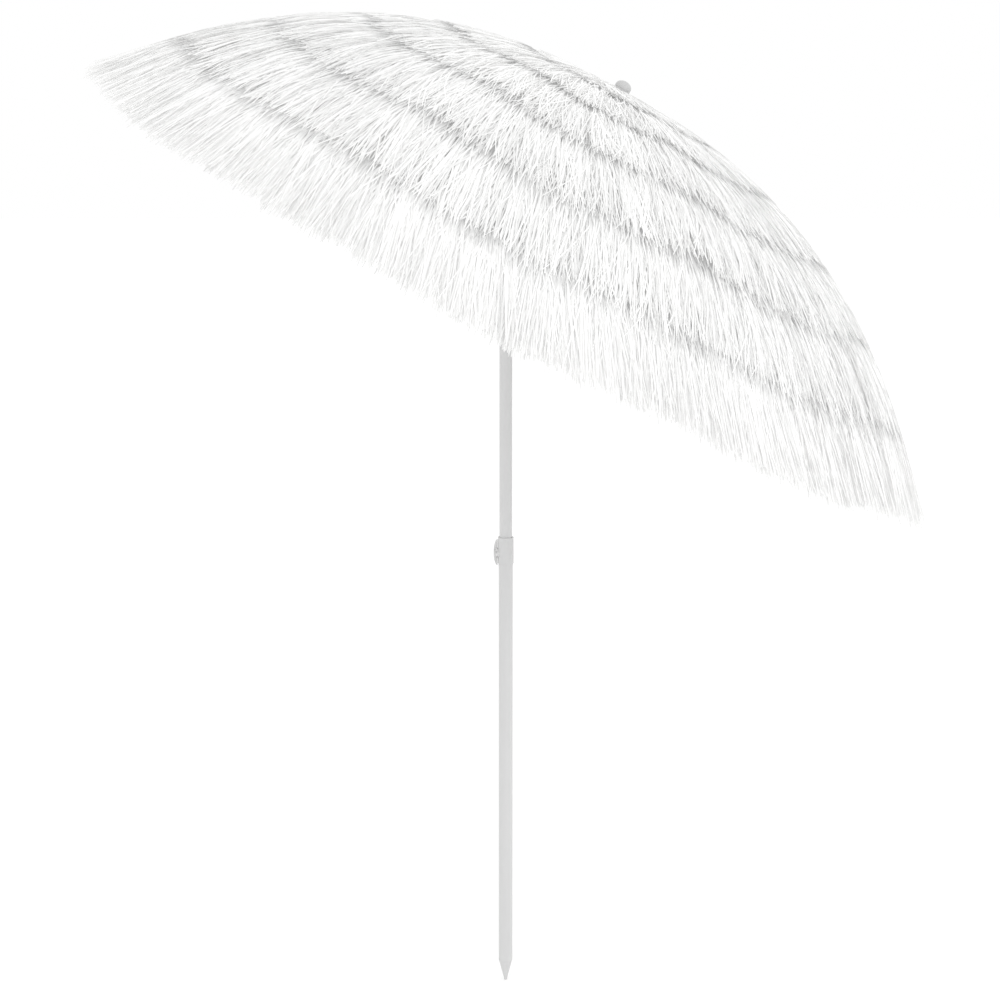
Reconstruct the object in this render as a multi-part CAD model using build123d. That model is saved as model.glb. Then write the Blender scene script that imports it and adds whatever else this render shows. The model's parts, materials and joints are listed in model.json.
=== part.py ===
from build123d import *
import os
from math import acos, atan2, cos, degrees, hypot, radians, sin

# Beach umbrella with a raffia canopy on a two-part telescopic pole, tilted at its knuckle.
# Millimetres, +Z up. The origin is the lower end of the lower tube, on the pole's axis.
# The canopy leans towards +X. Everything above the knuckle is drawn upright, with z
# counted from the tilt pivot, and then leaned over by tilted().

# ---- driving dimensions: pole ----
TUBE_WALL = 1.1
LOWER_TUBE_RADIUS = 14.0
UPPER_TUBE_RADIUS = 12.5  # the canopy tube is the same tube
LOWER_TUBE_LENGTH = 872.0
UPPER_TUBE_LENGTH = 750.0
TUBE_OVERLAP = 332.0  # how far the upper tube reaches into the lower one as stored
SWAGE = 0.3  # how far the lower tube is drawn in under the clamp collar
PLUG_STEM = 40.0  # how far every plug and fitting reaches into its tube
PLUG_CHAMFER = 1.5
GUIDE_FLANGE = 8.0

# ---- driving dimensions: ground spike ----
SPIKE_RING = 4.0
SPIKE_BAND = 2.0  # straight part under the ring
SPIKE_STEP = 0.8  # from the ring to the band
SPIKE_LENGTH = 48.0
SPIKE_TIP_RADIUS = 2.4

# ---- driving dimensions: clamp ----
COLLAR_GRIP = 46.0  # length of the lower tube inside the collar
COLLAR_LENGTH = 53.0
COLLAR_WALL = 1.5
CLAMP_RISE = 22.0  # screw axis above the collar's foot
BOSS_RADIUS = 9.0
BOSS_DEPTH = 2.9  # from the collar's outside to the boss's face
NUT_ACROSS_FLATS = 10.0
NUT_THICKNESS = 2.5
NUT_SKIN = 1.0  # boss wall over the nut
SCREW_RADIUS = 3.0
SCREW_CHAMFER = 0.5
PAD_RADIUS = 5.0
PAD_THICKNESS = 1.2
KNOB_HALF_LENGTH = 26.0
KNOB_THICKNESS = 7.0
KNOB_DEPTH = 5.5  # from the boss's face to the knob's outside
KNOB_SKIN = 2.0  # knob wall over the screw's end
KNOB_ROOM = 0.6  # around and in front of the boss
KNOB_STEP = 0.4  # the knob's hub is this much lower than its wings
EDGE_ROUND = 1.2

# ---- driving dimensions: tilt knuckle ----
TILT_ANGLE = 28.2
CHEEK_THICKNESS = 2.5
TONGUE_THICKNESS = 12.0
FORK_DEPTH = 30.0  # pivot to the floor of the fork
FORK_COLLAR = 16.0
CHEEK_ROOM = 3.0  # from the cheeks' round ends to the tongue's collar
TONGUE_COLLAR = 12.5
TONGUE_NECK = 18.0
TAIL_ROOM = 4.0  # from the tongue's tail to the fork's floor
TAIL_WIDTH = 14.0
TONGUE_STEP = 0.5  # the tongue's round is this much smaller than the cheeks'
PIN_RADIUS = 3.0
PIN_HEAD_RADIUS = 5.0
PIN_HEAD = 1.5
BUTTON_RADIUS = 2.5
BUTTON_DROP = 18.0  # pivot to the button's axis
BUTTON_PROUD = 1.0
CLIP_STRIP = 0.6
CLIP_WIDTH = 5.0
POCKET_FRONT = 2.0  # tongue wall in front of the spring clip
POCKET_BACK = 1.5
POCKET_FLOOR = 2.5
PIN_LAND = 2.0  # tongue left between the pin and the clip's pocket

# ---- driving dimensions: canopy frame ----
RIBS = 8
RIB_TURN = 16.0  # azimuth of the first rib
CROWN_DROP = 2.5  # crown pivots below the top of the rib line
RIB_RADIUS = 2.0
RIB_END = 800.0
RIB_ROOT = 12.0  # flattened length from the eye to the round rib
BLADE = 3.0  # thickness of the flattened rib and stretcher ends
BLADE_LENGTH = 16.0  # flattened length of a stretcher's end
BLADE_LAP = 3.0  # how far a flattened end runs into its round bar
EYE_RADIUS = 3.0
RING_WIRE = 0.9
STRETCHER_RADIUS = 2.0
JOINT_RADIUS = 228.0  # rib joint's distance from the axis when open
JOINT_DROP = 30.0  # rib joint below the crown pivot when open
RIVET_RADIUS = 1.5
RIVET_HEAD_RADIUS = 2.6
RIVET_HEAD = 1.0
EAR = 1.2  # sheet of the saddle clip
EAR_RIM = 0.4  # the ear's round end outside the stretcher's eye
SADDLE_LENGTH = 14.0
TIP_WALL = 1.2
TIP_BALL_RADIUS = 4.2
TIP_CAP_LENGTH = 16.0
HUB_WALL = 1.5
HUB_SLEEVE_STEP = 2.0  # lower sleeve outside the boss
HUB_PIVOT_STEP = 4.0  # ring of pivots outside the lower sleeve
HUB_RIM = 6.0  # disc outside the ring of pivots
HUB_SLEEVE = 14.0
HUB_DISC_UP = 4.0
HUB_DISC_DOWN = 8.0
HUB_BOSS = 14.5  # boss top above the crown pivots
HUB_ROUND = 1.0
SLOT_BITE = 0.5  # how far the slots run into the lower sleeve
RUNNER_WALL = 4.5
RUNNER_BELOW = 22.0
RUNNER_DISC = 6.0
GRIP_GROOVE = 0.6
GRIP_WIRE = 1.0
GRIP_RISE = 5.0
LATCH_NOSE = 4.9  # how far the latch stands out of the canopy tube
LATCH_WIDTH = 3.4
LATCH_LENGTH = 62.0
LATCH_RAMP = 38.0
LATCH_FLAT = 6.0
LATCH_FOOT = 6.0
LATCH_WEB = 2.0
LATCH_SLOT = 44.0
LATCH_SLOT_OVER = 2.0  # slot above the latch's top
FINIAL_WALL = 2.0
FINIAL_RISE = 26.0  # above the hub's boss
FINIAL_FLATNESS = 0.75
FINIAL_GROOVE = 0.7
FINIAL_BAND = 3.0  # from the groove to the dome

# ---- driving dimensions: canopy cover ----
RIM_HEIGHT = 41.0  # plane of the fringe tips above the tilt pivot
DOME_RISE = 402.0  # rib line above the rim plane, at the axis
DOME_BEYOND = 75.0  # the rib line would meet the rim plane this far past the rib's end
DOME_POWER = 2.45
FRINGE_REACH = 100.0  # fringe tips outside the rib's end
FRINGE_TURN = 26.0  # fringe's shoulder inside its tips
FRINGE_SHOULDER = 34.0  # and above them
COVER_START = 2.0  # cover's inner edge outside the finial
HEM_BACK = 4.0  # cloth's hem inside the rib's end
PILE_BACK = 10.0  # where the raffia leaves the dome, inside the rib's end
FABRIC_THICKNESS = 1.0
PILE = 17.4  # from the fabric's top to the raffia's outside
RAFFIA_SHELL = 3.0

# ---- clearances ----
SEATED = 0.05  # pressed or glued pieces, and pins in their own part
RUNNING = 0.1  # pieces that turn or slide on each other
LOOSE = 0.2  # wide sliding fits
RING_CLEARANCE = 0.3
LATCH_CLEARANCE = 0.4
FABRIC_CLEARANCE = 0.4
GORE_GAP_DEGREES = 0.2
THROUGH = 1.0  # how far a cut runs past what it cuts

# ---- places worked out from the dimensions ----
CENTRED_UP = (Align.CENTER, Align.CENTER, Align.MIN)
CENTRED_DOWN = (Align.CENTER, Align.CENTER, Align.MAX)
RIB_ANGLES = [RIB_TURN + n * 360 / RIBS for n in range(RIBS)]
UPPER_BORE = UPPER_TUBE_RADIUS - TUBE_WALL
LOWER_BORE = LOWER_TUBE_RADIUS - TUBE_WALL
SWAGED_RADIUS = LOWER_TUBE_RADIUS - SWAGE
UPPER_TUBE_FOOT = LOWER_TUBE_LENGTH - TUBE_OVERLAP
UPPER_TUBE_TOP = UPPER_TUBE_FOOT + UPPER_TUBE_LENGTH
FORK_FLOOR = UPPER_TUBE_TOP + FORK_COLLAR
TILT_HEIGHT = FORK_FLOOR + FORK_DEPTH
COLLAR_FOOT = LOWER_TUBE_LENGTH - COLLAR_GRIP
COLLAR_RADIUS = LOWER_TUBE_RADIUS + COLLAR_WALL
CLAMP_HEIGHT = COLLAR_FOOT + CLAMP_RISE
BOSS_REACH = COLLAR_RADIUS + BOSS_DEPTH
NUT_REACH = BOSS_REACH - NUT_SKIN
KNOB_REACH = BOSS_REACH + KNOB_DEPTH
KNOB_BACK = COLLAR_RADIUS + KNOB_ROOM
HALF_TONGUE = TONGUE_THICKNESS / 2
CHEEK_FACE = HALF_TONGUE + RUNNING
CHEEK_OUTSIDE = CHEEK_FACE + CHEEK_THICKNESS
TONGUE_SHOULDER = UPPER_TUBE_RADIUS + CHEEK_ROOM
TONGUE_TAIL = FORK_DEPTH - TAIL_ROOM
CANOPY_TUBE_FOOT = TONGUE_SHOULDER + TONGUE_COLLAR
POCKET_TOP = -PIN_RADIUS - PIN_LAND
POCKET_LOW = -TONGUE_TAIL + POCKET_FLOOR
CROWN_PIVOT = RIM_HEIGHT + DOME_RISE - CROWN_DROP
RUNNER_PIVOT = CROWN_PIVOT - 2 * JOINT_DROP
RUNNER_LOW = RUNNER_PIVOT - RUNNER_BELOW
JOINT_HEIGHT = CROWN_PIVOT - JOINT_DROP
HUB_BOSS_RADIUS = UPPER_TUBE_RADIUS + HUB_WALL
HUB_SLEEVE_RADIUS = HUB_BOSS_RADIUS + HUB_SLEEVE_STEP
CROWN_PIVOT_RADIUS = HUB_SLEEVE_RADIUS + HUB_PIVOT_STEP
HUB_RADIUS = CROWN_PIVOT_RADIUS + HUB_RIM
HUB_BOSS_TOP = CROWN_PIVOT + HUB_BOSS
RUNNER_SLEEVE_RADIUS = UPPER_TUBE_RADIUS + RUNNER_WALL
FINIAL_RADIUS = HUB_BOSS_RADIUS + FINIAL_WALL
FINIAL_TOP = HUB_BOSS_TOP + FINIAL_RISE
SLOT_WIDTH = BLADE + 2 * RING_CLEARANCE
SADDLE_RADIUS = RIB_RADIUS + EAR
DOME_SPREAD = RIB_END + DOME_BEYOND
RIM_RADIUS = RIB_END + FRINGE_REACH
COVER_HOLE = FINIAL_RADIUS + COVER_START
FABRIC_UNDER = SADDLE_RADIUS + FABRIC_CLEARANCE
RAFFIA_OUTSIDE = FABRIC_UNDER + FABRIC_THICKNESS + PILE


# ---- helpers ----
def rod(radius, bottom, top):
    """An upright round bar on the Z axis."""
    return Pos(0, 0, bottom) * Cylinder(radius, top - bottom, align=CENTRED_UP)


def tube(outer, inner, bottom, top):
    return rod(outer, bottom, top) - rod(inner, bottom - THROUGH, top + THROUGH)


def turned(*outline):
    """A solid turned about the Z axis from the (radius, height) points of its outline."""
    return revolve(make_face(Polyline(*[(r, 0, z) for r, z in outline], close=True)), Axis.Z)


def across(radius, start, end, x=0.0, z=0.0):
    """A round bar along Y."""
    return Pos(x, start, z) * Rot(-90, 0, 0) * Cylinder(radius, end - start, align=CENTRED_UP)


def outward(radius, start, end, height):
    """A round bar along -X, with its ends at these distances from the Z axis."""
    return Pos(-start, 0, height) * Rot(0, -90, 0) * Cylinder(radius, end - start, align=CENTRED_UP)


def plate(sketch, start, end):
    """A sketch drawn in (x, z), given a thickness from start to end along Y."""
    return Pos(0, end, 0) * extrude(Plane.XZ * sketch, end - start)


def tilted(shape):
    """Leans a piece drawn about the tilt pivot, and lifts it to the pivot."""
    return Pos(0, 0, TILT_HEIGHT) * Rot(0, TILT_ANGLE, 0) * shape


# ---- the dome's curves ----
def rib_height(radius):
    return RIM_HEIGHT + DOME_RISE * (1 - (radius / DOME_SPREAD) ** DOME_POWER)


def rib_slope(radius):
    """Angle below the horizontal, in radians."""
    return atan2(DOME_RISE * DOME_POWER / DOME_SPREAD * (radius / DOME_SPREAD) ** (DOME_POWER - 1), 1)


def above_rib(radius, offset):
    """The (radius, height) of a point at this distance outside the rib line."""
    lean = rib_slope(radius)
    return (radius + offset * sin(lean), rib_height(radius) + offset * cos(lean))


def dome_points(start, end, offset, count=6):
    steps = [start + (end - start) * n / (count - 1) for n in range(count)]
    return [above_rib(step, offset) for step in steps]


def gore(section):
    """One rib's share of a cover, centred on +X, from its section in (x, z)."""
    span = 360 / RIBS - GORE_GAP_DEGREES
    return Rot(0, 0, -span / 2) * revolve(Plane.XZ * section, Axis.Z, span)


# ---- pole ----
def stem(bottom, top, end="top"):
    """A plug's round stem in the upper or canopy tube, chamfered where it enters."""
    bar = rod(UPPER_BORE - SEATED, bottom, top)
    return chamfer(bar.edges().group_by(Axis.Z)[-1 if end == "top" else 0], PLUG_CHAMFER)


def ground_spike():
    plug = rod(LOWER_BORE - SEATED, -SPIKE_RING / 2, PLUG_STEM)
    plug = chamfer(plug.edges().group_by(Axis.Z)[-1], PLUG_CHAMFER)
    neck = LOWER_TUBE_RADIUS - SPIKE_STEP
    body = turned(
        (0, 0),
        (LOWER_TUBE_RADIUS, 0),
        (LOWER_TUBE_RADIUS, -SPIKE_RING),
        (neck, -SPIKE_RING),
        (neck, -SPIKE_RING - SPIKE_BAND),
        (SPIKE_TIP_RADIUS, -SPIKE_LENGTH),
        (0, -SPIKE_LENGTH),
    )
    body = fillet(body.edges().group_by(Axis.Z)[0], SPIKE_TIP_RADIUS * 0.8)
    return plug + body


def lower_tube():
    shell = tube(LOWER_TUBE_RADIUS, LOWER_BORE, 0, COLLAR_FOOT)
    shell += tube(SWAGED_RADIUS, LOWER_BORE, COLLAR_FOOT, LOWER_TUBE_LENGTH)
    return shell - outward(PAD_RADIUS + LOOSE, 0, LOWER_TUBE_RADIUS + THROUGH, CLAMP_HEIGHT)


def clamp_collar():
    top = COLLAR_FOOT + COLLAR_LENGTH
    body = rod(COLLAR_RADIUS, COLLAR_FOOT, top)
    body = fillet(body.edges().group_by(Axis.Z)[-1], EDGE_ROUND)
    body += outward(BOSS_RADIUS, 0, BOSS_REACH, CLAMP_HEIGHT)
    body -= rod(SWAGED_RADIUS + SEATED, COLLAR_FOOT - THROUGH, LOWER_TUBE_LENGTH + SEATED)
    body -= rod(UPPER_TUBE_RADIUS + LOOSE, LOWER_TUBE_LENGTH, top + THROUGH)
    body -= outward(PAD_RADIUS + LOOSE, 0, NUT_REACH - NUT_THICKNESS, CLAMP_HEIGHT)
    body -= outward(SCREW_RADIUS + LOOSE, 0, BOSS_REACH + THROUGH, CLAMP_HEIGHT)
    return body - nut_blank(SEATED, SWAGED_RADIUS, NUT_REACH + SEATED)


def nut_blank(gap, start, end):
    """The clamp nut's hexagon, this much larger all round, between two distances."""
    hexagon = RegularPolygon(NUT_ACROSS_FLATS / 2 + gap, 6, major_radius=False)
    return Pos(-start, 0, CLAMP_HEIGHT) * Rot(0, -90, 0) * extrude(hexagon, end - start)


def clamp_nut():
    blank = nut_blank(0, NUT_REACH - NUT_THICKNESS, NUT_REACH)
    return blank - outward(SCREW_RADIUS + SEATED, 0, NUT_REACH + THROUGH, CLAMP_HEIGHT)


def clamp_pad():
    """A disc whose inner face is hollowed to the upper tube."""
    face = UPPER_TUBE_RADIUS + SEATED
    hollow = face - (face**2 - PAD_RADIUS**2) ** 0.5
    disc = outward(PAD_RADIUS, face - hollow, face + PAD_THICKNESS, CLAMP_HEIGHT)
    reach = PAD_RADIUS + THROUGH
    return disc - rod(face, CLAMP_HEIGHT - reach, CLAMP_HEIGHT + reach)


def clamp_screw():
    start = UPPER_TUBE_RADIUS + PAD_THICKNESS + 2 * SEATED
    bar = outward(SCREW_RADIUS, start, KNOB_REACH - KNOB_SKIN, CLAMP_HEIGHT)
    return chamfer(bar.edges().group_by(Axis.X)[-1], SCREW_CHAMFER)


def wing_knob():
    """Two wings in one bow-shaped plate, with a round hub in front of the boss."""
    depth = KNOB_REACH - KNOB_BACK
    outline = Ellipse(depth, KNOB_HALF_LENGTH)
    outline &= Pos(-depth / 2, 0) * Rectangle(depth, 3 * KNOB_HALF_LENGTH)
    front = BOSS_REACH + KNOB_ROOM
    notch = Rectangle(front - KNOB_BACK, 2 * (BOSS_RADIUS + KNOB_ROOM))
    outline -= Pos((KNOB_BACK - front) / 2, 0) * notch
    half = KNOB_THICKNESS / 2
    wings = Pos(-KNOB_BACK, 0, CLAMP_HEIGHT) * plate(outline, -half, half)
    wings = fillet(wings.faces().sort_by(Axis.X)[0].edges().group_by(SortBy.LENGTH)[-1], EDGE_ROUND)
    hub = outward(BOSS_RADIUS - THROUGH, front, KNOB_REACH - KNOB_STEP, CLAMP_HEIGHT)
    end = KNOB_REACH - KNOB_SKIN + SEATED
    socket = outward(SCREW_RADIUS + SEATED, front - THROUGH, end, CLAMP_HEIGHT)
    return wings + hub - socket


def guide_plug():
    top = UPPER_TUBE_FOOT - LOOSE
    flange = rod(LOWER_BORE - RUNNING, top - GUIDE_FLANGE, top)
    flange = chamfer(flange.edges().group_by(Axis.Z)[0], PLUG_CHAMFER)
    return flange + stem(top, UPPER_TUBE_FOOT + PLUG_STEM)


def upper_tube():
    return tube(UPPER_TUBE_RADIUS, UPPER_BORE, UPPER_TUBE_FOOT, UPPER_TUBE_TOP)


# ---- tilt knuckle ----
def tilt_fork():
    plug = stem(UPPER_TUBE_TOP - PLUG_STEM, UPPER_TUBE_TOP + FORK_COLLAR / 2, end="bottom")
    collar = rod(UPPER_TUBE_RADIUS, UPPER_TUBE_TOP + SEATED, FORK_FLOOR)
    drop = FORK_DEPTH + FORK_COLLAR / 2
    outline = Circle(UPPER_TUBE_RADIUS) + Pos(0, -drop / 2) * Rectangle(2 * UPPER_TUBE_RADIUS, drop)
    outline -= Circle(PIN_RADIUS + SEATED)
    far_cheek = plate(outline, -CHEEK_OUTSIDE, -CHEEK_FACE)
    for lean in (0, radians(TILT_ANGLE)):
        place = Pos(-BUTTON_DROP * sin(lean), -BUTTON_DROP * cos(lean))
        outline -= place * Circle(BUTTON_RADIUS + RUNNING)
    cheeks = far_cheek + plate(outline, CHEEK_FACE, CHEEK_OUTSIDE)
    cheeks &= rod(UPPER_TUBE_RADIUS, -drop, UPPER_TUBE_RADIUS + THROUGH)
    return plug + collar + Pos(0, 0, TILT_HEIGHT) * cheeks


def tilt_pin():
    """A plain pin with a rounded head riveted on each end."""
    inner = CHEEK_OUTSIDE + SEATED
    pin = across(PIN_RADIUS, -inner, inner)
    head = across(PIN_HEAD_RADIUS, inner, inner + PIN_HEAD)
    head = fillet(head.edges().group_by(Axis.Y)[-1], PIN_HEAD * 0.7)
    return Pos(0, 0, TILT_HEIGHT) * (pin + head + Rot(0, 0, 180) * head)


def tilt_tongue():
    tail_radius = TAIL_WIDTH / 2
    tail = TONGUE_TAIL - tail_radius
    shoulder = TONGUE_SHOULDER + TONGUE_COLLAR / 2
    outline = Circle(UPPER_TUBE_RADIUS - TONGUE_STEP)
    outline += Pos(0, shoulder / 2) * Rectangle(TONGUE_NECK, shoulder)
    outline += Pos(0, -tail / 2) * Rectangle(TAIL_WIDTH, tail)
    outline += Pos(0, -tail) * Circle(tail_radius)
    outline -= Circle(PIN_RADIUS + RUNNING)
    blade = plate(outline, -HALF_TONGUE, HALF_TONGUE)
    collar = rod(UPPER_TUBE_RADIUS, TONGUE_SHOULDER, CANOPY_TUBE_FOOT)
    body = blade + collar + stem(CANOPY_TUBE_FOOT, CANOPY_TUBE_FOOT + PLUG_STEM)
    body -= across(BUTTON_RADIUS + RUNNING, 0, HALF_TONGUE + THROUGH, z=-BUTTON_DROP)
    depth = TONGUE_THICKNESS - POCKET_FRONT - POCKET_BACK
    pocket = Box(CLIP_WIDTH + 2 * RUNNING, depth, POCKET_TOP - POCKET_LOW)
    middle = Pos(0, (POCKET_BACK - POCKET_FRONT) / 2, (POCKET_TOP + POCKET_LOW) / 2)
    return tilted(body - middle * pocket)


def tilt_button():
    """The snap button, riveted on a folded strip of spring steel inside the tongue."""
    front = HALF_TONGUE - POCKET_FRONT - RUNNING
    back = POCKET_BACK - HALF_TONGUE + RUNNING
    top = POCKET_TOP - RUNNING
    low = POCKET_LOW + LOOSE
    middle = (front + back) / 2
    bend = (front - back) / 2
    strip = Pos(middle, top - bend) * (Circle(bend) - Circle(bend - CLIP_STRIP))
    strip &= Pos(middle, top - bend / 2) * Rectangle(2 * bend, bend)
    for edge, side in ((front, -1), (back, 1)):
        leg = Rectangle(CLIP_STRIP, top - bend - low)
        strip += Pos(edge + side * CLIP_STRIP / 2, (top - bend + low) / 2) * leg
    clip = Pos(-CLIP_WIDTH / 2, 0, 0) * extrude(Plane.YZ * strip, CLIP_WIDTH)
    tip = CHEEK_OUTSIDE + BUTTON_PROUD
    stud = across(BUTTON_RADIUS, front - CLIP_STRIP, tip, z=-BUTTON_DROP)
    stud = fillet(stud.edges().group_by(Axis.Y)[-1], BUTTON_PROUD * 0.9)
    return tilted(clip + stud)


# ---- canopy pole ----
def canopy_tube():
    shell = tube(UPPER_TUBE_RADIUS, UPPER_BORE, CANOPY_TUBE_FOOT, HUB_BOSS_TOP - SEATED)
    slot = Box(LATCH_WIDTH + 2 * LATCH_CLEARANCE, UPPER_TUBE_RADIUS, LATCH_SLOT)
    middle = RUNNER_LOW + LATCH_SLOT_OVER - LATCH_SLOT / 2
    return tilted(shell - Pos(0, -UPPER_TUBE_RADIUS, middle) * slot)


def runner_latch():
    """A wedge with a flat top, its foot inside the tube and its nose under the runner."""
    top = RUNNER_LOW - LOOSE
    low = top - LATCH_LENGTH
    inside = (UPPER_BORE**2 - (LATCH_WIDTH / 2) ** 2) ** 0.5 - SEATED
    nose = UPPER_TUBE_RADIUS + LATCH_NOSE
    outline = [
        (inside - LATCH_FOOT, low),
        (inside, low),
        (inside, top - LATCH_RAMP),
        (nose, top - LATCH_FLAT),
        (nose, top),
        (inside - LATCH_WEB, top),
        (inside - LATCH_FOOT, top - LATCH_RAMP),
    ]
    face = make_face(Polyline(*[(0, -reach, height) for reach, height in outline], close=True))
    return tilted(Pos(-LATCH_WIDTH / 2, 0, 0) * extrude(face, LATCH_WIDTH, dir=(1, 0, 0)))


def ring_at(height, wire=RING_WIRE):
    return Pos(0, 0, height) * Torus(CROWN_PIVOT_RADIUS, wire)


def slotted_disc(bottom, top, outer_edge):
    """A disc with a radial slot for each rib; one outer edge, 0 low or -1 high, is rounded."""
    disc = rod(HUB_RADIUS, bottom, top)
    disc = fillet(disc.edges().group_by(Axis.Z)[outer_edge], HUB_ROUND)
    inner = HUB_SLEEVE_RADIUS - SLOT_BITE
    height = top - bottom + 2 * THROUGH
    cut = Box(HUB_RADIUS, SLOT_WIDTH, height, align=(Align.MIN, Align.CENTER, Align.MIN))
    for angle in RIB_ANGLES:
        disc -= Rot(0, 0, angle) * Pos(inner, 0, bottom - THROUGH) * cut
    return disc


def crown_hub():
    disc_low = CROWN_PIVOT - HUB_DISC_DOWN
    body = slotted_disc(disc_low, CROWN_PIVOT + HUB_DISC_UP, -1)
    body += rod(HUB_BOSS_RADIUS, disc_low, HUB_BOSS_TOP)
    body += rod(HUB_SLEEVE_RADIUS, disc_low - HUB_SLEEVE, disc_low)
    body -= ring_at(CROWN_PIVOT, RING_WIRE + SEATED)
    return tilted(body - rod(UPPER_TUBE_RADIUS + SEATED, 0, HUB_BOSS_TOP + THROUGH))


def finial_cap():
    foot = CROWN_PIVOT + HUB_DISC_UP + LOOSE
    shoulder = FINIAL_TOP - FINIAL_RADIUS * FINIAL_FLATNESS
    band = rod(FINIAL_RADIUS, foot, shoulder)
    dome = Pos(0, 0, shoulder) * scale(Sphere(FINIAL_RADIUS), (1, 1, FINIAL_FLATNESS))
    dome &= rod(FINIAL_RADIUS + THROUGH, shoulder, FINIAL_TOP + THROUGH)
    cavity = rod(HUB_BOSS_RADIUS + SEATED, foot - THROUGH, HUB_BOSS_TOP + SEATED)
    groove = Pos(0, 0, shoulder - FINIAL_BAND) * Torus(FINIAL_RADIUS, FINIAL_GROOVE)
    return tilted(band + dome - cavity - groove)


def runner():
    disc_low = RUNNER_PIVOT - RUNNER_DISC
    disc_top = RUNNER_PIVOT + RUNNER_DISC
    body = slotted_disc(disc_low, disc_top, 0)
    body += rod(RUNNER_SLEEVE_RADIUS, RUNNER_LOW, disc_low)
    grip = Torus(RUNNER_SLEEVE_RADIUS + GRIP_WIRE - GRIP_GROOVE, GRIP_WIRE)
    body -= Pos(0, 0, RUNNER_LOW + GRIP_RISE) * grip
    body -= ring_at(RUNNER_PIVOT, RING_WIRE + SEATED)
    return tilted(body - rod(UPPER_TUBE_RADIUS + LOOSE, RUNNER_LOW - THROUGH, disc_top + THROUGH))


# ---- ribs and stretchers, drawn over +X ----
def blade_end(eye, along, length, hole):
    """A flattened bar end with an eye, running from the eye at an angle in (x, z)."""
    bar = Pos(length / 2, 0) * Rectangle(length, 2 * RIB_RADIUS)
    outline = Pos(*eye) * Rot(0, 0, along) * (bar + Circle(EYE_RADIUS) - Circle(hole))
    return plate(outline, -BLADE / 2, BLADE / 2)


def on_rib(radius):
    """The place and lean of a piece threaded on the rib: its +Z runs down along the rib."""
    return Pos(radius, 0, rib_height(radius)) * Rot(0, 90 + degrees(rib_slope(radius)), 0)


def rib():
    start = CROWN_PIVOT_RADIUS + RIB_ROOT
    stations = [start + (RIB_END - start) * n / 7 for n in range(8)]
    ends = [(cos(rib_slope(r)), 0, -sin(rib_slope(r))) for r in (start, RIB_END)]
    path = Spline(*[(r, 0, rib_height(r)) for r in stations], tangents=ends)
    bar = sweep(Plane(path @ 0, z_dir=path % 0) * Circle(RIB_RADIUS), path)
    run = RIB_ROOT + BLADE_LAP
    rise = rib_height(start + BLADE_LAP) - CROWN_PIVOT
    eye = (CROWN_PIVOT_RADIUS, CROWN_PIVOT)
    lean = degrees(atan2(rise, run))
    return blade_end(eye, lean, hypot(rise, run), RING_WIRE + RING_CLEARANCE) + bar


def saddle_clip():
    """The clip that carries the rib joint, with an ear each side of the stretcher."""
    seat = on_rib(JOINT_RADIUS)
    ear_height = rib_height(JOINT_RADIUS) - JOINT_HEIGHT
    ear_radius = EYE_RADIUS + EAR_RIM
    outline = Circle(ear_radius) + Pos(0, ear_height / 2) * Rectangle(2 * ear_radius, ear_height)
    outline = Pos(JOINT_RADIUS, JOINT_HEIGHT) * (outline - Circle(RIVET_RADIUS + SEATED))
    face = BLADE / 2 + LOOSE
    clip = seat * Cylinder(SADDLE_RADIUS, SADDLE_LENGTH)
    clip += plate(outline, face, face + EAR) + plate(outline, -face - EAR, -face)
    return clip - seat * Cylinder(RIB_RADIUS + RUNNING, 3 * SADDLE_LENGTH)


def joint_rivet():
    face = BLADE / 2 + LOOSE + EAR + SEATED
    shank = across(RIVET_RADIUS, -face, face, JOINT_RADIUS, JOINT_HEIGHT)
    for start in (face, -face - RIVET_HEAD):
        shank += across(RIVET_HEAD_RADIUS, start, start + RIVET_HEAD, JOINT_RADIUS, JOINT_HEIGHT)
    return shank


def tip_cap():
    """A sleeve on the rib's end with a ball past it."""
    cap = Cylinder(RIB_RADIUS + TIP_WALL, TIP_CAP_LENGTH, align=CENTRED_DOWN) + Sphere(TIP_BALL_RADIUS)
    cap = Pos(0, 0, TIP_BALL_RADIUS - THROUGH) * cap
    bore = Cylinder(RIB_RADIUS + LOOSE, 2 * TIP_CAP_LENGTH, align=CENTRED_DOWN)
    return on_rib(RIB_END) * (cap - Pos(0, 0, SEATED) * bore)


def rib_fittings():
    return Compound(children=[saddle_clip(), joint_rivet(), tip_cap()])


def stretcher():
    run = JOINT_RADIUS - CROWN_PIVOT_RADIUS
    rise = JOINT_HEIGHT - RUNNER_PIVOT
    lean = degrees(atan2(rise, run))
    flat = BLADE_LENGTH - BLADE_LAP
    bar = rod(STRETCHER_RADIUS, flat, hypot(run, rise) - flat)
    bar = Pos(CROWN_PIVOT_RADIUS, 0, RUNNER_PIVOT) * Rot(0, 90 - lean, 0) * bar
    ring_hole = RING_WIRE + RING_CLEARANCE
    inner = blade_end((CROWN_PIVOT_RADIUS, RUNNER_PIVOT), lean, BLADE_LENGTH, ring_hole)
    outer = blade_end((JOINT_RADIUS, JOINT_HEIGHT), lean + 180, BLADE_LENGTH, RIVET_RADIUS + RUNNING)
    return inner + bar + outer


# ---- cover, drawn over +X ----
def shell_section(low, high):
    """The face between two curves through these points, which run the same way."""
    return make_face([Spline(*low), Line(low[-1], high[-1]), Spline(*high), Line(high[0], low[0])])


def fabric_gore():
    edge = RIB_END - HEM_BACK
    low = dome_points(COVER_HOLE, edge, FABRIC_UNDER)
    high = dome_points(COVER_HOLE, edge, FABRIC_UNDER + FABRIC_THICKNESS)
    return gore(shell_section(low, high))


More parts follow.
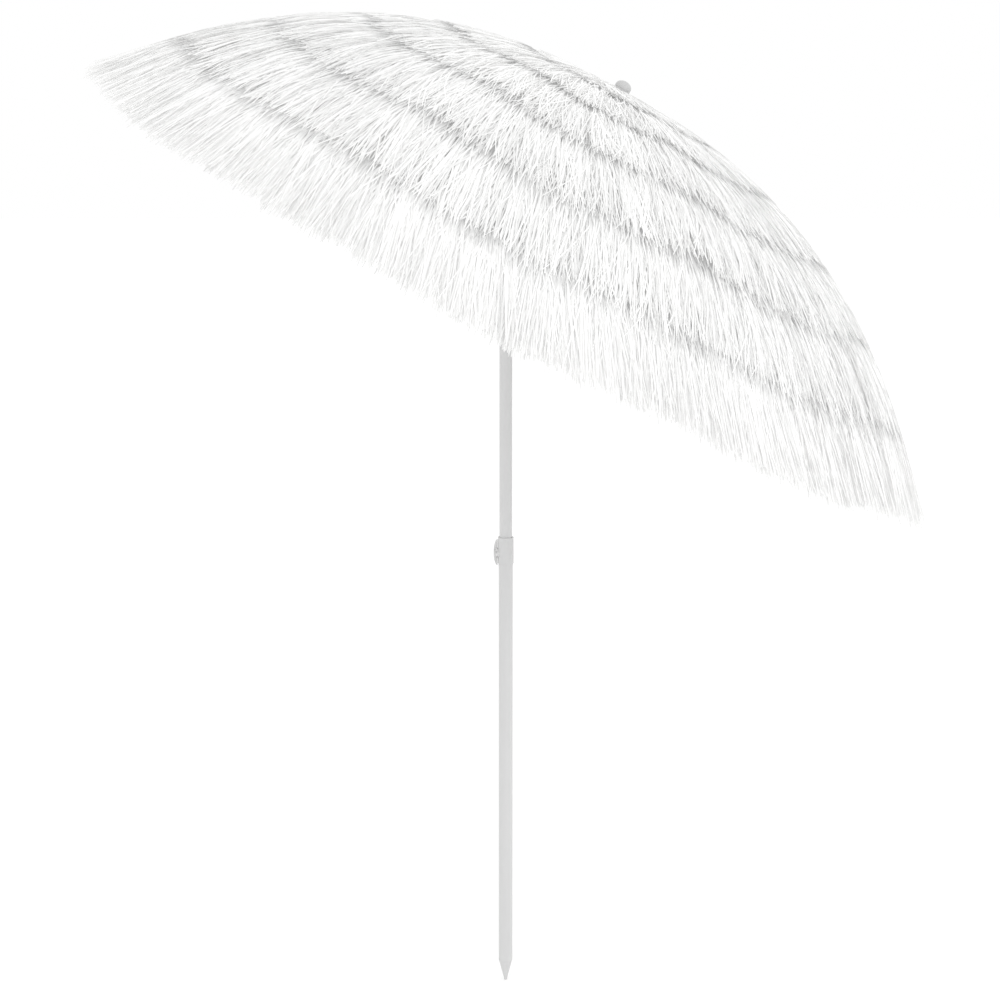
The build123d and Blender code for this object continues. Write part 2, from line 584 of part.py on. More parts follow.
def raffia_gore():
    """The outside of the straw, from the finial over the dome and down to the fringe's tips."""
    leaves = RIB_END - PILE_BACK
    shoulder = (RIM_RADIUS - FRINGE_TURN, RIM_HEIGHT + FRINGE_SHOULDER)
    inner_shoulder = (shoulder[0] - RAFFIA_SHELL, shoulder[1] - RAFFIA_SHELL / 2)
    high = dome_points(COVER_HOLE, leaves, RAFFIA_OUTSIDE)
    high += [shoulder, (RIM_RADIUS, RIM_HEIGHT)]
    low = dome_points(COVER_HOLE, leaves, RAFFIA_OUTSIDE - RAFFIA_SHELL)
    low += [inner_shoulder, (RIM_RADIUS - RAFFIA_SHELL, RIM_HEIGHT)]
    return gore(shell_section(low, high))


# ---- all pieces ----
pieces = {
    "ground_spike": ground_spike(),
    "lower_tube": lower_tube(),
    "clamp_collar": clamp_collar(),
    "clamp_nut": clamp_nut(),
    "clamp_pad": clamp_pad(),
    "clamp_screw": clamp_screw(),
    "wing_knob": wing_knob(),
    "guide_plug": guide_plug(),
    "upper_tube": upper_tube(),
    "tilt_fork": tilt_fork(),
    "tilt_pin": tilt_pin(),
    "tilt_tongue": tilt_tongue(),
    "tilt_button": tilt_button(),
    "canopy_tube": canopy_tube(),
    "runner_latch": runner_latch(),
    "crown_hub": crown_hub(),
    "crown_ring": tilted(ring_at(CROWN_PIVOT)),
    "finial_cap": finial_cap(),
    "runner": runner(),
    "runner_ring": tilted(ring_at(RUNNER_PIVOT)),
}
around = {
    "rib": rib(),
    "rib_fittings": rib_fittings(),
    "stretcher": stretcher(),
    "fabric_gore": fabric_gore(),
    "raffia_gore": raffia_gore(),
}
for number, angle in enumerate(RIB_ANGLES, start=1):
    for name, shape in around.items():
        pieces[f"{name}_{number}"] = tilted(Rot(0, 0, angle) * shape)

os.makedirs("parts", exist_ok=True)
for name, shape in pieces.items():
    export_step(shape, f"parts/{name}.step")

# The linkage: ribs and stretchers are equal, so the runner stays square on the tube.
arm = hypot(JOINT_RADIUS - CROWN_PIVOT_RADIUS, JOINT_DROP)
lean_open = degrees(acos(JOINT_DROP / arm))
print(f"{len(pieces)} nodes; arm {arm:.2f} mm, {lean_open:.2f} degrees from the pole when open")
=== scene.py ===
import json
from math import atan2, cos, pi, radians, sin

import bpy
import numpy as np
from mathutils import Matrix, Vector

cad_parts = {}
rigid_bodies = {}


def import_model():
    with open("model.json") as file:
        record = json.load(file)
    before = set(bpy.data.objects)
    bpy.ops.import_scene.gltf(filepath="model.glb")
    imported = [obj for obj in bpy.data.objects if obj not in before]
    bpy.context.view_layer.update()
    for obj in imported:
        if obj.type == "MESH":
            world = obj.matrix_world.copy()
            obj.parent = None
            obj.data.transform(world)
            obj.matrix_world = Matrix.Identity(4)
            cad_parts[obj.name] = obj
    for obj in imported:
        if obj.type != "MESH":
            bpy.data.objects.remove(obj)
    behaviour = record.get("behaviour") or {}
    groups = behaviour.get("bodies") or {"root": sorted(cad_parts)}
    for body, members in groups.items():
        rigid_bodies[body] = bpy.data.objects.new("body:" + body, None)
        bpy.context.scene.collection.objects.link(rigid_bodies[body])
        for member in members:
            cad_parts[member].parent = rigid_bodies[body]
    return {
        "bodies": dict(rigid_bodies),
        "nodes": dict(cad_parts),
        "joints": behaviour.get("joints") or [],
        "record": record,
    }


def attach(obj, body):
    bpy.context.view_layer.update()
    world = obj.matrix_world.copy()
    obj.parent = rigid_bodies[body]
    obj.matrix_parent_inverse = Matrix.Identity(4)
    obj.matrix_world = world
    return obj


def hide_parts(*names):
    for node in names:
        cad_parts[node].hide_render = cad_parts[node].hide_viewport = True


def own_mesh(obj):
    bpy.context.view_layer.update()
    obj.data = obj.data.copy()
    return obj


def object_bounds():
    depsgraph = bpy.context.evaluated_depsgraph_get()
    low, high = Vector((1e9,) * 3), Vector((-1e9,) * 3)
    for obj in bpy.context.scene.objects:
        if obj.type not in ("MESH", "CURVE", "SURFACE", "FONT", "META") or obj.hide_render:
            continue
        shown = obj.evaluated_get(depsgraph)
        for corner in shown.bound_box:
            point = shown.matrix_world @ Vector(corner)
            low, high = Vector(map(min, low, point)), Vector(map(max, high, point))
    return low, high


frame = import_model()
cad_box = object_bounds()

# The looks of the beach umbrella: seven tiers of loose white straw on an under-cloth, from the tuft
# round the finial to the fringe, a powder-coated pole and frame, moulded plastic and zinc-plated
# fittings. Metres and radians, in the CAD frame. "Canopy coordinates" have their origin at the tilt
# pivot and +z along the canopy's own axis.

# ---- the canopy's frame, from the CAD joints ----
JOINTS = {joint["child"]: joint for joint in frame["joints"]}
PIVOT = np.array(JOINTS["canopy_pole"]["pos_m"])
TILT = radians(-min(JOINTS["canopy_pole"]["range_deg"]))
LEAN = np.array([[cos(TILT), 0, sin(TILT)], [0, 1, 0], [-sin(TILT), 0, cos(TILT)]])
RIB_BODIES = sorted(body for body in frame["bodies"] if body.startswith("rib_"))
GRAVITY = np.array([0.0, 0.0, -1.0]) @ LEAN  # in canopy coordinates

# ---- the dome, as the CAD model draws its rib line ----
RIM_HEIGHT = 0.041
DOME_RISE = 0.402
DOME_SPREAD = 0.875
DOME_POWER = 2.45
RIB_END = 0.800
COVER_HOLE = 0.018
HEM_RADIUS = 0.796
CLOTH_UNDERSIDE = 0.0036  # above the rib line
SAG = 0.016  # of the cover between two ribs, at the hem

# ---- straw ----
SEED = 28
# Each tier's sewn radius, the radius that its tips reach, and its share of the usual thickness.
# The last tier goes on past the hem as the fringe.
TIERS = (
    (0.0175, 0.080, 3.0),
    (0.030, 0.200, 1.5),
    (0.155, 0.348, 1.15),
    (0.300, 0.495, 1.0),
    (0.445, 0.640, 1.0),
    (0.590, 0.785, 1.0),
    (0.730, RIB_END, 1.2),
)
STRAWS_PER_METRE = 2000  # round a tier's tips
STRAW_WIDTH = (0.0014, 0.0032)
STRAW_FOLD = 0.14  # crease depth, as a share of the width
LOCK_WIDTH = 0.024
LOCK_PULL = 0.2  # how far a lock's straws draw together at their tips
LOCK_LEAN = radians(3)
LOCK_JITTER = 0.35  # of a lock's centre, as a share of its width
LOCK_RAGGED = 0.6  # of RAGGED, shared by all straws of a lock
LOCK_LIFT = 0.25
STRAW_LEAN = radians(8)
STRAW_BOW = 0.07
STRAW_WAVE = (0.0002, 0.0012)
STRAW_BEATS = (0.6, 1.4)
STRAW_TWIST = (0.2, 0.45)  # of the whole straw, and more of it towards the tip
STRAW_TAPER = 0.35  # of the width, at the tip
STRAW_TONE = (0.82, 0.10)  # mean and spread
LAYER_SHADE = 0.1  # painted shade: straws lower in the pile are darker and upper straws lighter
TIP_SPLAY = radians(16)
SHORT_SHARE = 0.4  # straws cut short, to this range of the full length
SHORT_CUT = (0.4, 1.0)
RAGGED = 0.0065
SEWN_SPREAD = 0.014
SEWN_HEIGHT = 0.0052  # above the rib line, where a tier is sewn on
TIP_HEIGHT = (0.0125, 0.0205)
RIB_BULGE = 0.0045
RIB_BULGE_WIDTH = 0.045
TIER_WEIGHT = (0.35, 0.25)  # of the straw under gravity, at the crown and added by the hem
TIER_WEIGHT_START = 0.3
TIER_WEIGHT_SPAN = 0.5
LINE_DIP = 0.022  # how much higher a tier ends over a rib
TAPE_AND_SHADE_TONE = 0.12  # painted shade: the straws darken where each tier is sewn on, partly for the sewing tape's own dull colour and partly as a painted shadow of the tier above
TAPE_AND_SHADE_WIDTH = 0.034
TAPE_AND_SHADE_FADE = 0.038
CROWN_RADIUS = 0.100  # no tape or painted shade band is drawn inside it
FRINGE_LENGTH = 0.122
FRINGE_WEIGHT = 1.1
FRINGE_DROOP = 0.12
FRINGE_DROOP_SPREAD = 0.06
FRINGE_LEAN = 0.6  # share of a straw's lean that it keeps past the hem
FRINGE_FLARE = 0.08
FRINGE_SWING = 0.62  # how far gravity turns the fringe sideways
STATIONS = 5
FRINGE_STATIONS = 4
LEAST_RADIUS = 0.06  # near the finial, keeps a small drift from becoming a large turn


def to_row(points):
    """Canopy coordinates to the row frame."""
    return PIVOT + points @ LEAN.T


def to_canopy(points):
    return (np.asarray(points) - PIVOT) @ LEAN


def rib_azimuth(body):
    x, y, _ = to_canopy(JOINTS[body]["pos_m"])
    return atan2(y, x)


def rib_height(radius):
    return RIM_HEIGHT + DOME_RISE * (1 - (radius / DOME_SPREAD) ** DOME_POWER)


def rib_lean(radius):
    """Angle below the horizontal, in radians."""
    return np.arctan(DOME_RISE * DOME_POWER / DOME_SPREAD * (radius / DOME_SPREAD) ** (DOME_POWER - 1))


def directions(radius, azimuth):
    """Outward along the dome, sideways, and away from the dome, at each point."""
    lean = rib_lean(radius)
    c, s, zero = np.cos(azimuth), np.sin(azimuth), np.zeros_like(azimuth)
    along = np.stack([np.cos(lean) * c, np.cos(lean) * s, -np.sin(lean)], -1)
    sideways = np.stack([-s, c, zero], -1)
    away = np.stack([np.sin(lean) * c, np.sin(lean) * s, np.cos(lean)], -1)
    return along, sideways, away


def dome_point(radius, azimuth, offset):
    lean = rib_lean(radius)
    reach = radius + offset * np.sin(lean)
    height = rib_height(radius) + offset * np.cos(lean)
    return np.stack([reach * np.cos(azimuth), reach * np.sin(azimuth), height], -1)


def sag(radius, azimuth, middle):
    """How far the cover hangs below the dome between two ribs, middle being a rib's azimuth."""
    return SAG * (radius / RIB_END) ** 1.5 * (1 - np.cos((azimuth - middle) * len(RIB_BODIES))) / 2


def unit(vectors):
    return vectors / np.linalg.norm(vectors, axis=-1, keepdims=True)


def smooth(t):
    t = np.clip(t, 0, 1)
    return t * t * (3 - 2 * t)


def new_mesh(name, vertices, faces, values=None, uvs=None):
    """A smooth-shaded mesh object, with one float attribute per entry of values."""
    mesh = bpy.data.meshes.new(name)
    mesh.from_pydata(vertices.tolist(), [], faces.tolist())
    for key, column in (values or {}).items():
        attribute = mesh.attributes.new(key, "FLOAT", "POINT")
        attribute.data.foreach_set("value", column.astype(np.float32))
    if uvs is not None:
        layer = mesh.uv_layers.new(name="cut")
        layer.data.foreach_set("uv", uvs[faces.ravel()].astype(np.float32).ravel())
    mesh.shade_smooth()
    piece = bpy.data.objects.new(name, mesh)
    bpy.context.scene.collection.objects.link(piece)
    return piece


# ---- straw ----
def gravity_pull(radius, azimuth, weight):
    """Sideways drift per metre of straw that its own weight gives on the slope."""
    along, sideways, _ = directions(radius, azimuth)
    return weight * (sideways @ GRAVITY) / (1 + weight * np.maximum(along @ GRAVITY, 0))


def over_rib(azimuth, middle, radius):
    """1 over the rib, falling to 0 beside it."""
    return np.exp(-(((azimuth - middle) * radius / RIB_BULGE_WIDTH) ** 2))


def tier_straws(tier, middle, rng):
    """The straws of one tier on one rib's share: their paths, their normals and their tones."""
    sewn, tip, thickness = tier
    share = 2 * pi / len(RIB_BODIES)
    count = int(STRAWS_PER_METRE * thickness * tip * share)
    place = (np.arange(count) + rng.random(count)) / count - 0.5
    azimuth = middle + place * share
    # locks of straw that lie together
    locks = max(2, round(share * tip / LOCK_WIDTH))
    number = np.clip(((place + 0.5) * locks).astype(int), 0, locks - 1)
    centre = (np.arange(locks) + 0.5 + rng.uniform(-LOCK_JITTER, LOCK_JITTER, locks)) / locks - 0.5
    lock_lean = rng.normal(0, LOCK_LEAN, locks)[number]
    lock_length = rng.normal(0, RAGGED * LOCK_RAGGED, locks)[number]
    lock_lift = rng.uniform(-LOCK_LIFT, LOCK_LIFT, locks)[number]
    short = rng.random(count) < SHORT_SHARE
    lean = lock_lean + rng.normal(0, STRAW_LEAN, count)
    splay = rng.normal(0, TIP_SPLAY, count)
    # radii, with the tips ragged and the line higher over the rib
    rib = over_rib(azimuth, middle, tip)
    start = sewn + rng.uniform(0, SEWN_SPREAD, count)
    fringe = tip >= RIB_END
    ragged = 0 if fringe else lock_length + rng.normal(0, RAGGED, count) * (1 + rib)
    end = tip + ragged - (0 if fringe else LINE_DIP * rib)
    cut = np.where(short, rng.uniform(*SHORT_CUT, count), 1)
    end = end if fringe else start + (end - start) * cut
    length = (end - start) / np.cos(rib_lean((start + end) / 2))
    pull = (centre[number] - place) * share * tip * LOCK_PULL / length
    tier_weight = TIER_WEIGHT[0] + TIER_WEIGHT[1] * smooth((tip - TIER_WEIGHT_START) / TIER_WEIGHT_SPAN)
    weight = FRINGE_WEIGHT if fringe else tier_weight
    layer = np.clip(rng.random(count) + lock_lift, 0, 1)
    bow = rng.normal(0, STRAW_BOW, count)
    wave = rng.uniform(*STRAW_WAVE, count)
    beats = rng.uniform(*STRAW_BEATS, count)
    phase = rng.uniform(0, 2 * pi, count)
    sewn_height = SEWN_HEIGHT + RIB_BULGE * rib
    tip_height = TIP_HEIGHT[0] + (TIP_HEIGHT[1] - TIP_HEIGHT[0]) * layer
    paths, aways = [], []
    turn = azimuth.copy()
    for n in range(STATIONS + 1):
        s = n / STATIONS
        radius = start + (end - start) * s
        lift = (tip_height - sewn_height) * smooth(0.1 + 1.6 * s)
        offset = sewn_height + lift - sag(radius, turn, middle)
        sway = wave * np.sin(2 * pi * beats * s + phase) * smooth(3 * s)
        _, sideways, away = directions(radius, turn)
        paths.append(dome_point(radius, turn, offset) + sideways * sway[:, None])
        aways.append(away)
        drift = np.tan(lean) * smooth(2 * s) + pull + bow * cos(pi * s) + splay * smooth(2.2 * s - 1.2)
        drift = drift + gravity_pull(radius, turn, weight)
        turn = turn + drift * length / STATIONS / np.maximum(radius, LEAST_RADIUS)
    if fringe:
        add_fringe(paths, aways, turn, lean, rng, lock_length)
    paths = np.stack(paths, 1)
    run = np.linalg.norm(paths - paths[:, :1], axis=-1)
    mean, deviation = STRAW_TONE
    # painted shade by layer: deeper straws get a darker tone
    tones = np.clip(mean + rng.normal(0, deviation, count) + LAYER_SHADE * (layer - 0.5), 0, 1)[:, None]
    # painted shade: each straw darkens near where its tier is sewn on, partly for the sewing tape and partly
    # as a painted shadow of the tier above
    taped_and_shaded = (1 - smooth((run - TAPE_AND_SHADE_WIDTH) / TAPE_AND_SHADE_FADE)) * (sewn > CROWN_RADIUS)
    tones = tones + (TAPE_AND_SHADE_TONE - tones) * taped_and_shaded
    return paths, np.stack(aways, 1), tones


def add_fringe(paths, aways, azimuth, lean, rng, lock_length):
    """Carries the lowest tier's straws on past the hem, drooping under their own weight."""
    count = len(azimuth)
    along, sideways, away = directions(np.full(count, RIB_END), azimuth)
    length = FRINGE_LENGTH + lock_length + rng.normal(0, RAGGED, count)
    droop = FRINGE_DROOP + rng.normal(0, FRINGE_DROOP_SPREAD, count)
    swing = FRINGE_SWING * (sideways @ GRAVITY)
    flare = np.tan(lean) * FRINGE_LEAN + rng.normal(0, FRINGE_FLARE, count) + swing
    place = paths[-1]
    for n in range(1, FRINGE_STATIONS + 1):
        weight = (droop * smooth(0.25 + 0.85 * n / FRINGE_STATIONS))[:, None]
        step = unit(along * (1 - weight) + GRAVITY * weight + sideways * flare[:, None])
        place = place + step * (length / FRINGE_STATIONS)[:, None]
        paths.append(place)
        aways.append(unit(away - step * (away * step).sum(-1, keepdims=True)))


def ribbons(paths, aways, rng):
    """Creased ribbons along the paths: their vertices and faces."""
    count, stations = paths.shape[:2]
    s = np.linspace(0, 1, stations)
    along = unit(np.gradient(paths, axis=1))
    side = unit(np.cross(along, aways))
    up = np.cross(side, along)
    whole, towards_tip = (rng.normal(0, twist, count)[:, None] for twist in STRAW_TWIST)
    twist = whole + towards_tip * s
    twist = twist[..., None]
    side, up = side * np.cos(twist) + up * np.sin(twist), up * np.cos(twist) - side * np.sin(twist)
    width = rng.uniform(*STRAW_WIDTH, count)[:, None] * (1 - STRAW_TAPER * s**4)
    half = width[..., None] / 2
    crease = up * half * 2 * STRAW_FOLD * rng.choice([-1, 1], count)[:, None, None]
    vertices = np.stack([paths - side * half, paths + crease, paths + side * half], 2)
    corner = (np.arange(count)[:, None] * stations + np.arange(stations - 1)) * 3
    quad = np.array([0, 1, 4, 3])
    left = (corner[..., None] + quad).reshape(-1, 4)
    faces = np.concatenate([left, left + 1])
    return vertices.reshape(-1, 3), faces


def raffia(body):
    """All tiers of straw on one rib's share of the canopy."""
    number = int(body.split("_")[1])
    rng = np.random.default_rng(SEED + number)
    middle = rib_azimuth(body)
    vertices, faces, tones, total = [], [], [], 0
    for tier in TIERS:
        paths, aways, tone = tier_straws(tier, middle, rng)
        points, quads = ribbons(paths, aways, rng)
        vertices.append(to_row(points))
        faces.append(quads + total)
        tones.append(np.repeat(tone.ravel(), 3))
        total += len(points)
    values = {"tone": np.concatenate(tones)}
    return new_mesh(f"raffia_{number}", np.concatenate(vertices), np.concatenate(faces), values)


# ---- under-cloth ----
CLOTH_THICKNESS = 0.0005
SEAM_BAND = 0.005  # half of the felled seam over a rib
SEAM_EXTRA = 0.0006
HEM_BAND = 0.014
HEM_EXTRA = 0.0007
FOLD_STEP = 0.0004  # width of the step at a seam's edge
HEM_STEP = 0.0006  # and at the hem
PUCKER = 0.0004  # ripples beside a seam: their depth, the arc of one radian, how far they reach
PUCKER_ARC = 0.011
PUCKER_REACH = 0.03
CLOTH_ROWS = 60
CLOTH_COLUMNS = 14


def cloth(body):
    """One rib's share of the under-cloth, with a felled seam over the rib and a turned hem.

    Gives the piece, its flat width and length, and its flat area.
    """
    number = int(body.split("_")[1])
    middle = rib_azimuth(body)
    hem = HEM_RADIUS - HEM_BAND * cos(rib_lean(HEM_RADIUS))
    rows_past_hem = [hem + HEM_STEP, HEM_RADIUS - HEM_STEP, HEM_RADIUS]
    radii = np.concatenate([np.linspace(COVER_HOLE, hem, CLOTH_ROWS), rows_past_hem])
    half = radii * pi / len(RIB_BODIES)
    band = np.minimum(SEAM_BAND, half * 0.3)
    outer = band + FOLD_STEP
    steps = [0 * band, band, outer]
    steps += [outer + (half - band - FOLD_STEP) * n / CLOTH_COLUMNS for n in range(1, CLOTH_COLUMNS + 1)]
    side = np.stack(steps, 1)
    arc = np.concatenate([-side[:, :0:-1], side], 1)
    seam = (np.abs(arc) <= band[:, None] + 1e-9) * SEAM_EXTRA
    edge = (radii > hem + HEM_STEP / 2)[:, None] * HEM_EXTRA
    thickness = CLOTH_THICKNESS + np.maximum(seam, edge)
    reach = (np.abs(arc) - band[:, None]) / PUCKER_REACH
    pucker = PUCKER * np.sin(arc / PUCKER_ARC + number) * np.exp(-reach ** 2)
    azimuth = middle + arc / radii[:, None]
    radius = np.broadcast_to(radii[:, None], arc.shape)
    top = CLOTH_UNDERSIDE + CLOTH_THICKNESS + SEAM_EXTRA + pucker - sag(radius, azimuth, middle)
    upper = dome_point(radius, azimuth, top)
    lower = dome_point(radius, azimuth, top - thickness)
    rows, columns = arc.shape
    grid = np.arange(rows * columns).reshape(rows, columns)
    under = grid + rows * columns

    def quads(a, flip):
        face = np.stack([a[:-1, :-1], a[1:, :-1], a[1:, 1:], a[:-1, 1:]], -1).reshape(-1, 4)
        return face[:, ::-1] if flip else face

    def rim(line, line_under):
        return np.stack([line[:-1], line[1:], line_under[1:], line_under[:-1]], -1)

    faces = np.concatenate([
        quads(grid, False),
        quads(under, True),
        rim(grid[0], under[0]),
        rim(grid[-1][::-1], under[-1][::-1]),
        rim(grid[::-1, 0], under[::-1, 0]),
        rim(grid[:, -1], under[:, -1]),
    ])
    vertices = to_row(np.concatenate([upper.reshape(-1, 3), lower.reshape(-1, 3)]))
    run = np.concatenate([[0], np.cumsum(np.diff(radii) / np.cos(rib_lean((radii[1:] + radii[:-1]) / 2)))])
    uv = np.stack([arc, np.broadcast_to(run[:, None], arc.shape)], -1).reshape(-1, 2)
    piece = new_mesh(f"under_cloth_{number}", vertices, faces, uvs=np.concatenate([uv, uv]))
    widths = 2 * half
    area = float(((widths[1:] + widths[:-1]) / 2 * np.diff(run)).sum())
    return piece, (float(widths.max()), float(run[-1])), area


# ---- materials ----
def new_material(name, color, roughness, metallic=0.0):
    """A Principled material, its links and its shader node."""
    material = bpy.data.materials.new(name)
    material.use_nodes = True
    nodes, links = material.node_tree.nodes, material.node_tree.links
    shader = nodes["Principled BSDF"]
    shader.inputs["Base Color"].default_value = (*color, 1)
    shader.inputs["Roughness"].default_value = roughness
    shader.inputs["Metallic"].default_value = metallic
    return material, nodes, links, shader


def noise(nodes, links, scale, detail=3.0, vector=None):
    texture = nodes.new("ShaderNodeTexNoise")
    texture.inputs["Scale"].default_value = scale
    texture.inputs["Detail"].default_value = detail
    if vector is None:
        vector = nodes.new("ShaderNodeTexCoord").outputs["Object"]
    links.new(vector, texture.inputs["Vector"])
    return texture.outputs["Fac"]


def ramp(nodes, links, value, low, high):
    """A colour that runs from low to high as the value goes from 0 to 1."""
    node = nodes.new("ShaderNodeValToRGB")
    node.color_ramp.elements[0].color = (*low, 1)
    node.color_ramp.elements[1].color = (*high, 1)
    links.new(value, node.inputs["Fac"])
    return node.outputs["Color"]


def spread(nodes, links, value, low, high):
    """A number that runs from low to high as the value goes from 0.3 to 0.7."""
    node = nodes.new("ShaderNodeMapRange")
    node.inputs["From Min"].default_value = 0.3
    node.inputs["From Max"].default_value = 0.7
    node.inputs["To Min"].default_value = low
    node.inputs["To Max"].default_value = high
    links.new(value, node.inputs["Value"])
    return node.outputs["Result"]


def bump(nodes, links, shader, height, depth, strength=1.0):
    node = nodes.new("ShaderNodeBump")
    node.inputs["Distance"].default_value = depth
    node.inputs["Strength"].default_value = strength
    links.new(height, node.inputs["Height"])
    links.new(node.outputs["Normal"], shader.inputs["Normal"])


STRAW_GLOW = 0.14  # painted light: a faint glow that lifts the straw's shade, standing in for the light that thin white plastic lets through
DARKEST_STRAW = (0.38, 0.38, 0.378)
BRIGHT_STRAW = (0.89, 0.89, 0.885)
WEAVE_SCALE = 380


def straw_material():
    """White plastic straw: each straw has its own tone, darkened near its tier's sewn edge partly by the
    sewing tape and partly by painted shade, and by painted shade lower in the pile; faint streaks, a soft
    gloss and a faint painted glow.
    """
    material, nodes, links, shader = new_material("white_straw", (0.92, 0.92, 0.915), 0.42)
    # painted light: the straw glows a little, lifting its shade
    shader.inputs["Emission Color"].default_value = (1, 1, 1, 1)
    shader.inputs["Emission Strength"].default_value = STRAW_GLOW
    tone = nodes.new("ShaderNodeAttribute")
    tone.attribute_name = "tone"
    color = ramp(nodes, links, tone.outputs["Fac"], DARKEST_STRAW, BRIGHT_STRAW)
    links.new(color, shader.inputs["Base Color"])
    streaks = noise(nodes, links, 260, 2)
    links.new(spread(nodes, links, streaks, 0.34, 0.56), shader.inputs["Roughness"])
    bump(nodes, links, shader, streaks, 0.0003, 0.5)
    return material


def cloth_material():
    """Plain-woven polyester: warp and weft show as a fine grid of crowns."""
    material, nodes, links, shader = new_material("woven_cloth", (0.88, 0.88, 0.87), 0.82)
    shader.inputs["Sheen Weight"].default_value = 0.15
    cut = nodes.new("ShaderNodeUVMap")
    cut.uv_map = "cut"
    heights = []
    for direction in ("X", "Y"):
        wave = nodes.new("ShaderNodeTexWave")
        wave.bands_direction = direction
        wave.inputs["Scale"].default_value = WEAVE_SCALE
        wave.inputs["Distortion"].default_value = 0.6
        wave.inputs["Detail"].default_value = 1.0
        links.new(cut.outputs["UV"], wave.inputs["Vector"])
        heights.append(wave.outputs["Fac"])
    weave = nodes.new("ShaderNodeMath")
    weave.operation = "MULTIPLY"
    links.new(heights[0], weave.inputs[0])
    links.new(heights[1], weave.inputs[1])
    patches = noise(nodes, links, 9, 4)
    color = ramp(nodes, links, patches, (0.83, 0.83, 0.82), (0.92, 0.92, 0.91))
    links.new(color, shader.inputs["Base Color"])
    links.new(spread(nodes, links, patches, 0.76, 0.88), shader.inputs["Roughness"])
    bump(nodes, links, shader, weave.outputs["Value"], 0.0002, 0.6)
    return material


def painted_material(name, color, roughness):
    """Powder-coated steel: a fine orange-peel surface with faint handling marks."""
    material, nodes, links, shader = new_material(name, color, roughness)
    shader.inputs["Coat Weight"].default_value = 0.12
    shader.inputs["Coat Roughness"].default_value = 0.25
    marks = noise(nodes, links, 14, 5)
    dark = tuple(c * 0.96 for c in color)
    links.new(ramp(nodes, links, marks, dark, color), shader.inputs["Base Color"])
    links.new(spread(nodes, links, marks, roughness - 0.06, roughness + 0.1), shader.inputs["Roughness"])
    bump(nodes, links, shader, noise(nodes, links, 900, 2), 0.00012, 0.35)
    return material


def moulded_material(name, color, roughness):
    """Moulded plastic: a fine spark-eroded grain, a little duller in patches."""
    material, nodes, links, shader = new_material(name, color, roughness)
    patches = noise(nodes, links, 40, 4)
    dark = tuple(c * 0.95 for c in color)
    links.new(ramp(nodes, links, patches, dark, color), shader.inputs["Base Color"])
    links.new(spread(nodes, links, patches, roughness - 0.07, roughness + 0.08), shader.inputs["Roughness"])
    bump(nodes, links, shader, noise(nodes, links, 2200, 1), 0.00008, 0.5)
    return material


def metal_material(name, color, roughness):
    """Plated metal with fine scratches and cloudy patches."""
    material, nodes, links, shader = new_material(name, color, roughness, 1.0)
    stretch = nodes.new("ShaderNodeMapping")
    stretch.inputs["Scale"].default_value = (1, 1, 12)
    links.new(nodes.new("ShaderNodeTexCoord").outputs["Object"], stretch.inputs["Vector"])
    scratches = noise(nodes, links, 420, 3, stretch.outputs["Vector"])
    patches = noise(nodes, links, 120, 4)
    dark = tuple(c * 0.85 for c in color)
    links.new(ramp(nodes, links, patches, dark, color), shader.inputs["Base Color"])
    links.new(spread(nodes, links, scratches, roughness - 0.1, roughness + 0.12), shader.inputs["Roughness"])
    bump(nodes, links, shader, scratches, 0.00005, 0.4)
    return material


SLOT_MATERIALS = {
    "pole_paint": painted_material("pole_powder_coat", (0.65, 0.65, 0.65), 0.42),
    "rib_paint": painted_material("rib_powder_coat", (0.62, 0.62, 0.617), 0.40),
    "knuckle_paint": painted_material("knuckle_powder_coat", (0.62, 0.62, 0.62), 0.44),
    "collar_plastic": moulded_material("collar_plastic", (0.65, 0.65, 0.65), 0.46),
    "knob_plastic": moulded_material("knob_plastic", (0.64, 0.64, 0.64), 0.45),
    "spike_plastic": moulded_material("spike_plastic", (0.65, 0.65, 0.65), 0.48),
    "hub_plastic": moulded_material("hub_plastic", (0.66, 0.66, 0.657), 0.45),
    "finial_plastic": moulded_material("finial_plastic", (0.58, 0.58, 0.58), 0.40),
    "zinc_steel": metal_material("zinc_steel", (0.70, 0.70, 0.71), 0.32),
    "pad_brass": metal_material("pad_brass", (0.72, 0.58, 0.30), 0.34),
    "under_cloth": cloth_material(),
    "raffia": straw_material(),
}


def paint(piece, slot):
    piece.data.materials.clear()
    piece.data.materials.append(SLOT_MATERIALS[slot])


for subpart in frame["record"]["subparts"]:
    paint(frame["nodes"][subpart["node"]], subpart["material_slot"])


# ---- the canopy's pieces ----
STRAW_KEEP = 0.32  # share of its width that a gore would keep in a folded canopy; the pieces here are drawn open
CLOTH_KEEP = 0.28

for body in RIB_BODIES:
    number = int(body.split("_")[1])
    straw = raffia(body)
    under, flat, area = cloth(body)
    for piece, node, slot, keep in (
        (straw, f"raffia_gore_{number}", "raffia", STRAW_KEEP),
        (under, f"fabric_gore_{number}", "under_cloth", CLOTH_KEEP),
    ):
        paint(piece, slot)
        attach(piece, body)
        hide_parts(node)
        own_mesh(piece)


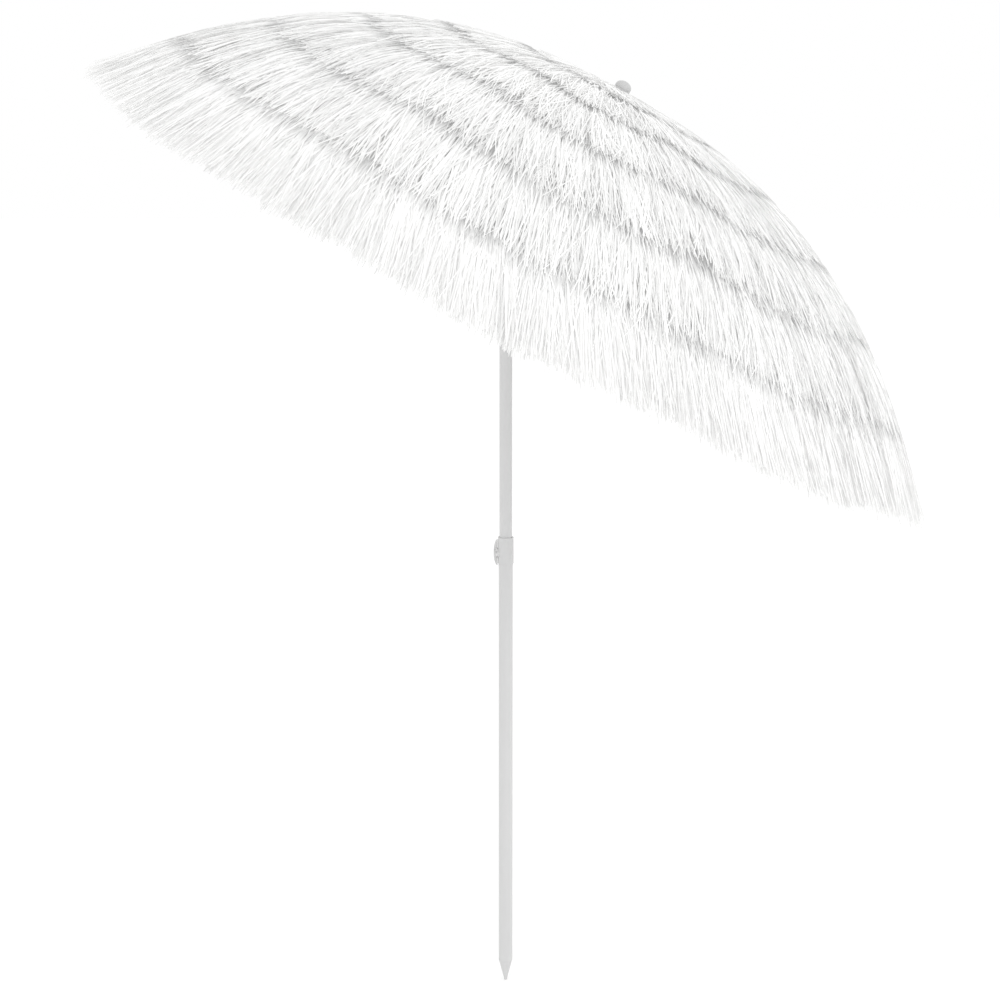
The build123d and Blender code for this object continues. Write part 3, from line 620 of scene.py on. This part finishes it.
# ---- stage, light and camera ----
CAMERA_PLACE = (-0.0113, -4.42, 1.844)
CAMERA_PITCH = radians(11.4)
CAMERA_LENS = 82.8
FLOOR_SIZE = 40.0
# Each light's place, size and power.
LIGHTS = {
    "key": ((-1.6, -2.2, 5.2), 1.6, 9),
    "fill": ((3.2, -3.0, 2.6), 2.0, 22),
}
LIT_HEIGHT = 0.3  # on the canopy's axis, above the pivot


def floor():
    """A wide pale floor under the tip of the foot."""
    low = cad_box[0][2]
    half = FLOOR_SIZE / 2
    corners = np.array([(-half, -half, low), (half, -half, low), (half, half, low), (-half, half, low)])
    piece = new_mesh("floor", corners, np.array([[0, 1, 2, 3]]))
    material, _, _, shader = new_material("pale_floor", (0.93, 0.93, 0.93), 0.9)
    shader.inputs["Emission Color"].default_value = (1, 1, 1, 1)
    shader.inputs["Emission Strength"].default_value = 0.12
    piece.data.materials.append(material)


def area_light(name, place, target, size, power):
    """A disk light at place that points at target."""
    data = bpy.data.lights.new(name, "AREA")
    data.shape = "DISK"
    data.size = size
    data.energy = power
    light = bpy.data.objects.new(name, data)
    light.location = place
    direction = np.array(target) - np.array(place)
    light.rotation_euler = (
        atan2(np.hypot(direction[0], direction[1]), -direction[2]),
        0,
        atan2(direction[0], -direction[1]) + pi,
    )
    bpy.context.scene.collection.objects.link(light)


def studio():
    world = bpy.data.worlds.new("studio")
    bpy.context.scene.world = world
    world.use_nodes = True
    background = world.node_tree.nodes["Background"]
    background.inputs["Color"].default_value = (1, 1, 1, 1)
    background.inputs["Strength"].default_value = 1.0
    target = tuple(to_row(np.array([0.0, 0.0, LIT_HEIGHT])))
    for name, (place, size, power) in LIGHTS.items():
        area_light(name, place, target, size, power)
    bpy.context.scene.view_settings.view_transform = "Standard"


def camera():
    data = bpy.data.cameras.new("camera")
    data.lens = CAMERA_LENS
    data.sensor_width = 36
    piece = bpy.data.objects.new("camera", data)
    piece.location = CAMERA_PLACE
    piece.rotation_euler = (pi / 2 - CAMERA_PITCH, 0, 0)
    bpy.context.scene.collection.objects.link(piece)
    bpy.context.scene.camera = piece


floor()
studio()
camera()
